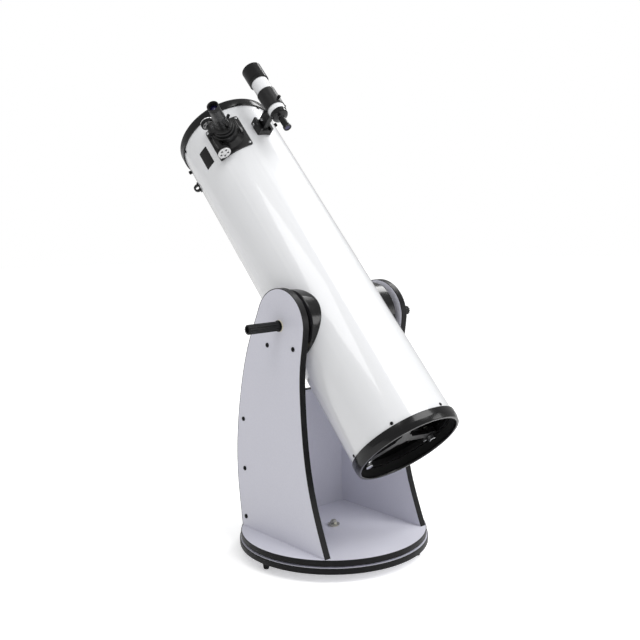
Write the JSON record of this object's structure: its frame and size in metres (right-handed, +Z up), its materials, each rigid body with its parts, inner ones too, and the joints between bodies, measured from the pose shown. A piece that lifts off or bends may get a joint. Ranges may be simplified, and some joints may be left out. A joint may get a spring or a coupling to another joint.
{
  "type": "dobsonian telescope",
  "caption": "Newtonian reflector tube with focuser and finder, pivoting on round bearings in a rocker box that turns on a round ground board.",
  "frame": {"origin": "on the floor, on the azimuth axis, level with the soles of the three feet", "axes": "+Z up along the azimuth axis; X along the altitude axis, +X to the right seen from behind the tube; +Y is the side the tube points to"},
  "size_m": [0.578, 0.9826, 1.366],
  "materials": {
    "white_laminate": "pale laminate on chipboard, satin",
    "black_edging": "moulded edge banding",
    "foot_rubber": "moulded",
    "ptfe": "skived sheet",
    "nylon": "turned nylon",
    "zinc_steel": "zinc plated",
    "black_screws": "blackened",
    "white_enamel": "gloss stoved enamel",
    "gloss_black_plastic": "moulded, gloss",
    "grip_plastic": "moulded, ribbed",
    "black_casting": "cast aluminium, satin black",
    "black_steel": "sheet steel, matt black",
    "silvered_glass": "first-surface aluminised glass",
    "lens_glass": "coated lens",
    "chrome": "bright",
    "silver_knobs": "turned and bead-blasted",
    "eyepiece_black": "black anodised",
    "eyecup_rubber": "moulded"
  },
  "bodies": {
    "base": {"ground_board": "white_laminate", "ground_board_edging": "black_edging", "feet": "foot_rubber", "azimuth_pads": "ptfe", "pivot_bolt": "zinc_steel", "pivot_washer": "zinc_steel", "pivot_nut": "zinc_steel"},
    "rocker": {"rocker_floor": "white_laminate", "rocker_floor_edging": "black_edging", "side_panel_left": "white_laminate", "side_panel_right": "white_laminate", "panel_edging": "black_edging", "front_board": "white_laminate", "panel_bolts": "black_screws", "floor_screws": "zinc_steel", "bearing_posts": "nylon", "pivot_bush": "nylon"},
    "tube": {"tube_shell": "white_enamel", "front_ring": "gloss_black_plastic", "rear_ring": "gloss_black_plastic", "tube_screws": "black_screws", "altitude_bearing_left": "gloss_black_plastic", "altitude_bearing_right": "gloss_black_plastic", "mirror_cell": "black_casting", "collimation_springs": "zinc_steel", "mirror_lock_screws": "chrome", "spider": "black_steel", "vane_nuts": "black_screws", "secondary_holder": "black_casting", "secondary_mirror": "silvered_glass", "secondary_screws": "zinc_steel", "focuser_body": "black_casting", "focuser_plate_screws": "chrome", "finder_shoe": "black_casting", "finder_bracket": "black_casting", "finder_mount_screws": "chrome", "hand_screws": "black_screws", "tube_loop": "gloss_black_plastic"},
    "carrier": {"mirror_carrier": "black_casting", "primary_mirror": "silvered_glass", "mirror_clips": "black_steel"},
    "knob_1": {"collimation_knob_1": "chrome"},
    "knob_2": {"collimation_knob_2": "chrome"},
    "knob_3": {"collimation_knob_3": "chrome"},
    "washer_left": {"tension_washer_left": "nylon"},
    "washer_right": {"tension_washer_right": "nylon"},
    "handle_left": {"tension_handle_left": "grip_plastic"},
    "handle_right": {"tension_handle_right": "grip_plastic"},
    "drawtube": {"drawtube": "black_casting", "eyepiece_adapter": "black_casting", "clamp_screws": "black_screws", "eyepiece_body": "eyepiece_black", "eyepiece_cup": "eyecup_rubber", "eyepiece_lens": "lens_glass"},
    "pinion": {"pinion_shaft": "black_screws", "focus_knobs": "silver_knobs"},
    "finder": {"finder_tube": "white_enamel", "finder_dew_shield": "gloss_black_plastic", "finder_lenses": "lens_glass", "finder_eyepiece": "gloss_black_plastic"}
  },
  "joints": [
    {"name": "azimuth", "type": "hinge", "parent": "base", "child": "rocker", "pos_m": [0, 0, 0.05], "axis": [0, 0, 1], "continuous": true},
    {"name": "altitude", "type": "hinge", "parent": "rocker", "child": "tube", "pos_m": [0, -0.012, 0.645], "axis": [1, 0, 0], "range_deg": [-47.3, 42.7]},
    {"name": "tension_travel_left", "type": "slide", "parent": "tube", "child": "washer_left", "axis": [-1, 0, 0], "range_m": [0, 0.00125]},
    {"name": "tension_turn_left", "type": "hinge", "parent": "washer_left", "child": "handle_left", "pos_m": [0, -0.012, 0.645], "axis": [-1, 0, 0], "range_deg": [-1, 361]},
    {"name": "tension_travel_right", "type": "slide", "parent": "tube", "child": "washer_right", "axis": [1, 0, 0], "range_m": [0, 0.00125]},
    {"name": "tension_turn_right", "type": "hinge", "parent": "washer_right", "child": "handle_right", "pos_m": [0, -0.012, 0.645], "axis": [1, 0, 0], "range_deg": [-1, 361]},
    {"name": "focus_travel", "type": "slide", "parent": "tube", "child": "drawtube", "axis": [-0.6947, -0.5287, 0.4878], "range_m": [0, 0.036]},
    {"name": "focus_turn", "type": "hinge", "parent": "tube", "child": "pinion", "pos_m": [-0.14322, 0.31674, 1.1499], "axis": [0, 0.6782, 0.7349], "range_deg": [-690, 2]},
    {"name": "mirror_travel", "type": "slide", "parent": "tube", "child": "carrier", "axis": [0, 0.6782, 0.7349], "range_m": [-0.001, 0.001]},
    {"name": "collimation_turn_1", "type": "hinge", "parent": "tube", "child": "knob_1", "pos_m": [0.11091, -0.26164, 0.35149], "axis": [0, 0.6782, 0.7349], "range_deg": [-361, 361]},
    {"name": "collimation_turn_2", "type": "hinge", "parent": "tube", "child": "knob_2", "pos_m": [-0.06895, -0.20823, 0.30221], "axis": [0, 0.6782, 0.7349], "range_deg": [-361, 361]},
    {"name": "collimation_turn_3", "type": "hinge", "parent": "tube", "child": "knob_3", "pos_m": [-0.04196, -0.34941, 0.43248], "axis": [0, 0.6782, 0.7349], "range_deg": [-361, 361]},
    {"name": "finder_tilt", "type": "hinge", "parent": "tube", "child": "finder", "pos_m": [-0.01232, 0.24715, 1.27263], "axis": [-0.9986, 0.0385, -0.0355], "range_deg": [-0.9, 0.9]}
  ],
  "couplings": [
    {"joint": "tension_turn_left", "follows": "tension_travel_left", "rad_per_m": 5026.5},
    {"joint": "tension_turn_right", "follows": "tension_travel_right", "rad_per_m": 5026.5},
    {"joint": "focus_turn", "follows": "focus_travel", "rad_per_m": -333.33},
    {"joint": "collimation_turn_1", "follows": "mirror_travel", "rad_per_m": 6283.2},
    {"joint": "collimation_turn_2", "follows": "mirror_travel", "rad_per_m": 6283.2},
    {"joint": "collimation_turn_3", "follows": "mirror_travel", "rad_per_m": 6283.2}
  ]
}
